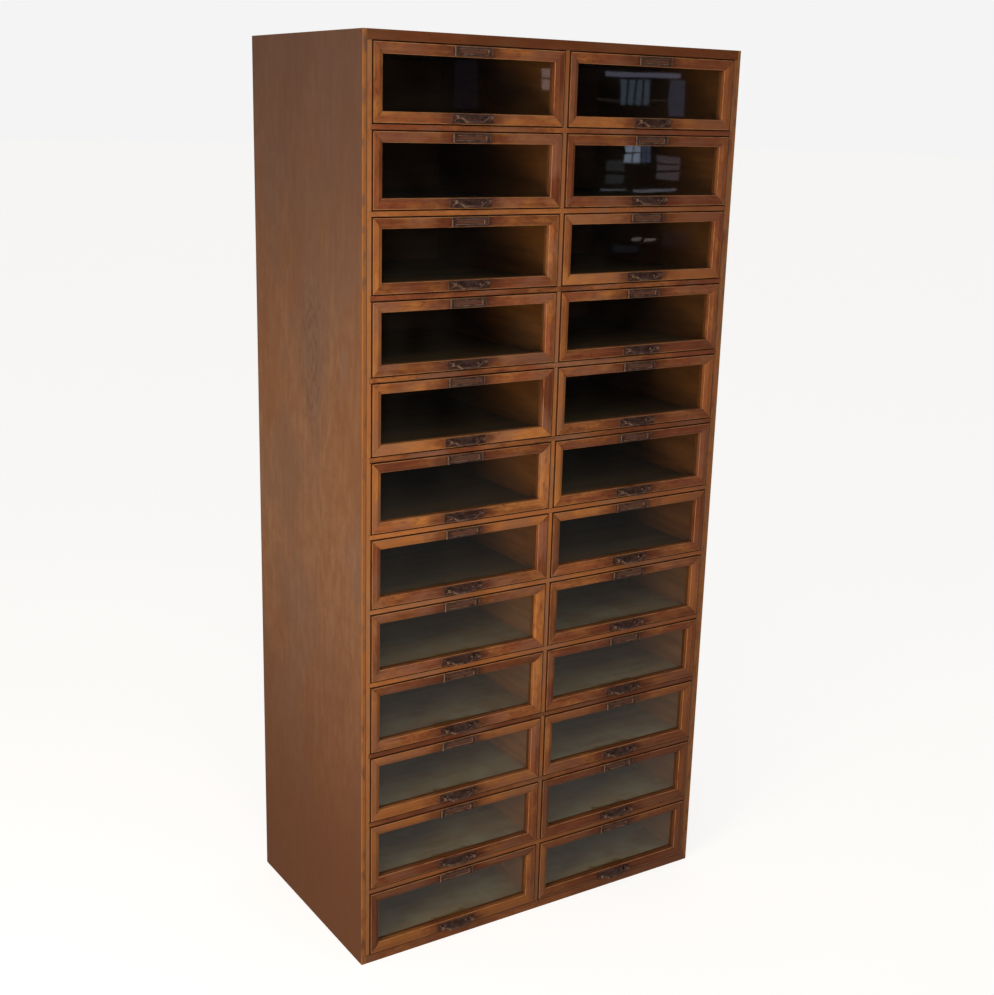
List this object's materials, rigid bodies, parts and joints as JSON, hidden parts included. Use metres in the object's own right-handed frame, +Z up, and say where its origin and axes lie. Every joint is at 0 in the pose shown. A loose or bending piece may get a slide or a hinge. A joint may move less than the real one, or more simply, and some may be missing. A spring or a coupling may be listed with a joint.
{
  "type": "haberdashery cabinet",
  "caption": "Tall oak shop cabinet with two columns of glass-fronted drawers, each with a brass card frame and a hanging bail pull.",
  "frame": {"origin": "on the floor, at the middle of the carcass's footprint (the pulls stand out in front of it)", "axes": "+X to the viewer's right when facing the drawers, +Y from the drawer fronts to the back, +Z up"},
  "size_m": [0.848, 0.486, 1.8],
  "materials": {
    "oak_show": "stained and waxed oak, satin",
    "oak_inner": "plain oak, unfinished",
    "oak_front": "stained and waxed oak, satin",
    "plywood": "thin plywood, dull",
    "drawer_wood": "plain wood, dull",
    "pane_glass": "clear drawn sheet glass",
    "old_brass": "dark patina, rubbed bright on the edges"
  },
  "bodies": {
    "cabinet": {"side_left": "oak_show", "side_right": "oak_show", "front_posts": "oak_show", "rear_posts": "oak_inner", "top_board": "oak_show", "bottom_board": "oak_show", "back_panel": "plywood", "centre_partition": "oak_show", "drawer_rails": "oak_show", "side_runners": "oak_inner", "centre_runners": "oak_inner", "drawer_stops": "oak_inner"},
    "drawer_r01_left": {"drawer_r01_left": "oak_front"},
    "handle_r01_left": {"handle_r01_left": "old_brass"},
    "drawer_r01_right": {"drawer_r01_right": "oak_front"},
    "handle_r01_right": {"handle_r01_right": "old_brass"},
    "drawer_r02_left": {"drawer_r02_left": "oak_front"},
    "handle_r02_left": {"handle_r02_left": "old_brass"},
    "drawer_r02_right": {"drawer_r02_right": "oak_front"},
    "handle_r02_right": {"handle_r02_right": "old_brass"},
    "drawer_r03_left": {"drawer_r03_left": "oak_front"},
    "handle_r03_left": {"handle_r03_left": "old_brass"},
    "drawer_r03_right": {"drawer_r03_right": "oak_front"},
    "handle_r03_right": {"handle_r03_right": "old_brass"},
    "drawer_r04_left": {"drawer_r04_left": "oak_front"},
    "handle_r04_left": {"handle_r04_left": "old_brass"},
    "drawer_r04_right": {"drawer_r04_right": "oak_front"},
    "handle_r04_right": {"handle_r04_right": "old_brass"},
    "drawer_r05_left": {"drawer_r05_left": "oak_front"},
    "handle_r05_left": {"handle_r05_left": "old_brass"},
    "drawer_r05_right": {"drawer_r05_right": "oak_front"},
    "handle_r05_right": {"handle_r05_right": "old_brass"},
    "drawer_r06_left": {"drawer_r06_left": "oak_front"},
    "handle_r06_left": {"handle_r06_left": "old_brass"},
    "drawer_r06_right": {"drawer_r06_right": "oak_front"},
    "handle_r06_right": {"handle_r06_right": "old_brass"},
    "drawer_r07_left": {"drawer_r07_left": "oak_front"},
    "handle_r07_left": {"handle_r07_left": "old_brass"},
    "drawer_r07_right": {"drawer_r07_right": "oak_front"},
    "handle_r07_right": {"handle_r07_right": "old_brass"},
    "drawer_r08_left": {"drawer_r08_left": "oak_front"},
    "handle_r08_left": {"handle_r08_left": "old_brass"},
    "drawer_r08_right": {"drawer_r08_right": "oak_front"},
    "handle_r08_right": {"handle_r08_right": "old_brass"},
    "drawer_r09_left": {"drawer_r09_left": "oak_front"},
    "handle_r09_left": {"handle_r09_left": "old_brass"},
    "drawer_r09_right": {"drawer_r09_right": "oak_front"},
    "handle_r09_right": {"handle_r09_right": "old_brass"},
    "drawer_r10_left": {"drawer_r10_left": "oak_front"},
    "handle_r10_left": {"handle_r10_left": "old_brass"},
    "drawer_r10_right": {"drawer_r10_right": "oak_front"},
    "handle_r10_right": {"handle_r10_right": "old_brass"},
    "drawer_r11_left": {"drawer_r11_left": "oak_front"},
    "handle_r11_left": {"handle_r11_left": "old_brass"},
    "drawer_r11_right": {"drawer_r11_right": "oak_front"},
    "handle_r11_right": {"handle_r11_right": "old_brass"},
    "drawer_r12_left": {"drawer_r12_left": "oak_front"},
    "handle_r12_left": {"handle_r12_left": "old_brass"},
    "drawer_r12_right": {"drawer_r12_right": "oak_front"},
    "handle_r12_right": {"handle_r12_right": "old_brass"}
  },
  "joints": [
    {"name": "slide_r01_left", "type": "slide", "parent": "cabinet", "child": "drawer_r01_left", "axis": [0, -1, 0], "range_m": [0, 0.36]},
    {"name": "swing_r01_left", "type": "hinge", "parent": "drawer_r01_left", "child": "handle_r01_left", "pos_m": [-0.2055, -0.2475, 1.65882], "axis": [-1, 0, 0], "range_deg": [-45, 100]},
    {"name": "slide_r01_right", "type": "slide", "parent": "cabinet", "child": "drawer_r01_right", "axis": [0, -1, 0], "range_m": [0, 0.36]},
    {"name": "swing_r01_right", "type": "hinge", "parent": "drawer_r01_right", "child": "handle_r01_right", "pos_m": [0.2055, -0.2475, 1.65882], "axis": [-1, 0, 0], "range_deg": [-45, 100]},
    {"name": "slide_r02_left", "type": "slide", "parent": "cabinet", "child": "drawer_r02_left", "axis": [0, -1, 0], "range_m": [0, 0.36]},
    {"name": "swing_r02_left", "type": "hinge", "parent": "drawer_r02_left", "child": "handle_r02_left", "pos_m": [-0.2055, -0.2475, 1.51098], "axis": [-1, 0, 0], "range_deg": [-45, 100]},
    {"name": "slide_r02_right", "type": "slide", "parent": "cabinet", "child": "drawer_r02_right", "axis": [0, -1, 0], "range_m": [0, 0.36]},
    {"name": "swing_r02_right", "type": "hinge", "parent": "drawer_r02_right", "child": "handle_r02_right", "pos_m": [0.2055, -0.2475, 1.51098], "axis": [-1, 0, 0], "range_deg": [-45, 100]},
    {"name": "slide_r03_left", "type": "slide", "parent": "cabinet", "child": "drawer_r03_left", "axis": [0, -1, 0], "range_m": [0, 0.36]},
    {"name": "swing_r03_left", "type": "hinge", "parent": "drawer_r03_left", "child": "handle_r03_left", "pos_m": [-0.2055, -0.2475, 1.36315], "axis": [-1, 0, 0], "range_deg": [-45, 100]},
    {"name": "slide_r03_right", "type": "slide", "parent": "cabinet", "child": "drawer_r03_right", "axis": [0, -1, 0], "range_m": [0, 0.36]},
    {"name": "swing_r03_right", "type": "hinge", "parent": "drawer_r03_right", "child": "handle_r03_right", "pos_m": [0.2055, -0.2475, 1.36315], "axis": [-1, 0, 0], "range_deg": [-45, 100]},
    {"name": "slide_r04_left", "type": "slide", "parent": "cabinet", "child": "drawer_r04_left", "axis": [0, -1, 0], "range_m": [0, 0.36]},
    {"name": "swing_r04_left", "type": "hinge", "parent": "drawer_r04_left", "child": "handle_r04_left", "pos_m": [-0.2055, -0.2475, 1.21532], "axis": [-1, 0, 0], "range_deg": [-45, 100]},
    {"name": "slide_r04_right", "type": "slide", "parent": "cabinet", "child": "drawer_r04_right", "axis": [0, -1, 0], "range_m": [0, 0.36]},
    {"name": "swing_r04_right", "type": "hinge", "parent": "drawer_r04_right", "child": "handle_r04_right", "pos_m": [0.2055, -0.2475, 1.21532], "axis": [-1, 0, 0], "range_deg": [-45, 100]},
    {"name": "slide_r05_left", "type": "slide", "parent": "cabinet", "child": "drawer_r05_left", "axis": [0, -1, 0], "range_m": [0, 0.36]},
    {"name": "swing_r05_left", "type": "hinge", "parent": "drawer_r05_left", "child": "handle_r05_left", "pos_m": [-0.2055, -0.2475, 1.06748], "axis": [-1, 0, 0], "range_deg": [-45, 100]},
    {"name": "slide_r05_right", "type": "slide", "parent": "cabinet", "child": "drawer_r05_right", "axis": [0, -1, 0], "range_m": [0, 0.36]},
    {"name": "swing_r05_right", "type": "hinge", "parent": "drawer_r05_right", "child": "handle_r05_right", "pos_m": [0.2055, -0.2475, 1.06748], "axis": [-1, 0, 0], "range_deg": [-45, 100]},
    {"name": "slide_r06_left", "type": "slide", "parent": "cabinet", "child": "drawer_r06_left", "axis": [0, -1, 0], "range_m": [0, 0.36]},
    {"name": "swing_r06_left", "type": "hinge", "parent": "drawer_r06_left", "child": "handle_r06_left", "pos_m": [-0.2055, -0.2475, 0.91965], "axis": [-1, 0, 0], "range_deg": [-45, 100]},
    {"name": "slide_r06_right", "type": "slide", "parent": "cabinet", "child": "drawer_r06_right", "axis": [0, -1, 0], "range_m": [0, 0.36]},
    {"name": "swing_r06_right", "type": "hinge", "parent": "drawer_r06_right", "child": "handle_r06_right", "pos_m": [0.2055, -0.2475, 0.91965], "axis": [-1, 0, 0], "range_deg": [-45, 100]},
    {"name": "slide_r07_left", "type": "slide", "parent": "cabinet", "child": "drawer_r07_left", "axis": [0, -1, 0], "range_m": [0, 0.36]},
    {"name": "swing_r07_left", "type": "hinge", "parent": "drawer_r07_left", "child": "handle_r07_left", "pos_m": [-0.2055, -0.2475, 0.77182], "axis": [-1, 0, 0], "range_deg": [-45, 100]},
    {"name": "slide_r07_right", "type": "slide", "parent": "cabinet", "child": "drawer_r07_right", "axis": [0, -1, 0], "range_m": [0, 0.36]},
    {"name": "swing_r07_right", "type": "hinge", "parent": "drawer_r07_right", "child": "handle_r07_right", "pos_m": [0.2055, -0.2475, 0.77182], "axis": [-1, 0, 0], "range_deg": [-45, 100]},
    {"name": "slide_r08_left", "type": "slide", "parent": "cabinet", "child": "drawer_r08_left", "axis": [0, -1, 0], "range_m": [0, 0.36]},
    {"name": "swing_r08_left", "type": "hinge", "parent": "drawer_r08_left", "child": "handle_r08_left", "pos_m": [-0.2055, -0.2475, 0.62398], "axis": [-1, 0, 0], "range_deg": [-45, 100]},
    {"name": "slide_r08_right", "type": "slide", "parent": "cabinet", "child": "drawer_r08_right", "axis": [0, -1, 0], "range_m": [0, 0.36]},
    {"name": "swing_r08_right", "type": "hinge", "parent": "drawer_r08_right", "child": "handle_r08_right", "pos_m": [0.2055, -0.2475, 0.62398], "axis": [-1, 0, 0], "range_deg": [-45, 100]},
    {"name": "slide_r09_left", "type": "slide", "parent": "cabinet", "child": "drawer_r09_left", "axis": [0, -1, 0], "range_m": [0, 0.36]},
    {"name": "swing_r09_left", "type": "hinge", "parent": "drawer_r09_left", "child": "handle_r09_left", "pos_m": [-0.2055, -0.2475, 0.47615], "axis": [-1, 0, 0], "range_deg": [-45, 100]},
    {"name": "slide_r09_right", "type": "slide", "parent": "cabinet", "child": "drawer_r09_right", "axis": [0, -1, 0], "range_m": [0, 0.36]},
    {"name": "swing_r09_right", "type": "hinge", "parent": "drawer_r09_right", "child": "handle_r09_right", "pos_m": [0.2055, -0.2475, 0.47615], "axis": [-1, 0, 0], "range_deg": [-45, 100]},
    {"name": "slide_r10_left", "type": "slide", "parent": "cabinet", "child": "drawer_r10_left", "axis": [0, -1, 0], "range_m": [0, 0.36]},
    {"name": "swing_r10_left", "type": "hinge", "parent": "drawer_r10_left", "child": "handle_r10_left", "pos_m": [-0.2055, -0.2475, 0.32832], "axis": [-1, 0, 0], "range_deg": [-45, 100]},
    {"name": "slide_r10_right", "type": "slide", "parent": "cabinet", "child": "drawer_r10_right", "axis": [0, -1, 0], "range_m": [0, 0.36]},
    {"name": "swing_r10_right", "type": "hinge", "parent": "drawer_r10_right", "child": "handle_r10_right", "pos_m": [0.2055, -0.2475, 0.32832], "axis": [-1, 0, 0], "range_deg": [-45, 100]},
    {"name": "slide_r11_left", "type": "slide", "parent": "cabinet", "child": "drawer_r11_left", "axis": [0, -1, 0], "range_m": [0, 0.36]},
    {"name": "swing_r11_left", "type": "hinge", "parent": "drawer_r11_left", "child": "handle_r11_left", "pos_m": [-0.2055, -0.2475, 0.18048], "axis": [-1, 0, 0], "range_deg": [-45, 100]},
    {"name": "slide_r11_right", "type": "slide", "parent": "cabinet", "child": "drawer_r11_right", "axis": [0, -1, 0], "range_m": [0, 0.36]},
    {"name": "swing_r11_right", "type": "hinge", "parent": "drawer_r11_right", "child": "handle_r11_right", "pos_m": [0.2055, -0.2475, 0.18048], "axis": [-1, 0, 0], "range_deg": [-45, 100]},
    {"name": "slide_r12_left", "type": "slide", "parent": "cabinet", "child": "drawer_r12_left", "axis": [0, -1, 0], "range_m": [0, 0.36]},
    {"name": "swing_r12_left", "type": "hinge", "parent": "drawer_r12_left", "child": "handle_r12_left", "pos_m": [-0.2055, -0.2475, 0.03265], "axis": [-1, 0, 0], "range_deg": [-45, 100]},
    {"name": "slide_r12_right", "type": "slide", "parent": "cabinet", "child": "drawer_r12_right", "axis": [0, -1, 0], "range_m": [0, 0.36]},
    {"name": "swing_r12_right", "type": "hinge", "parent": "drawer_r12_right", "child": "handle_r12_right", "pos_m": [0.2055, -0.2475, 0.03265], "axis": [-1, 0, 0], "range_deg": [-45, 100]}
  ]
}
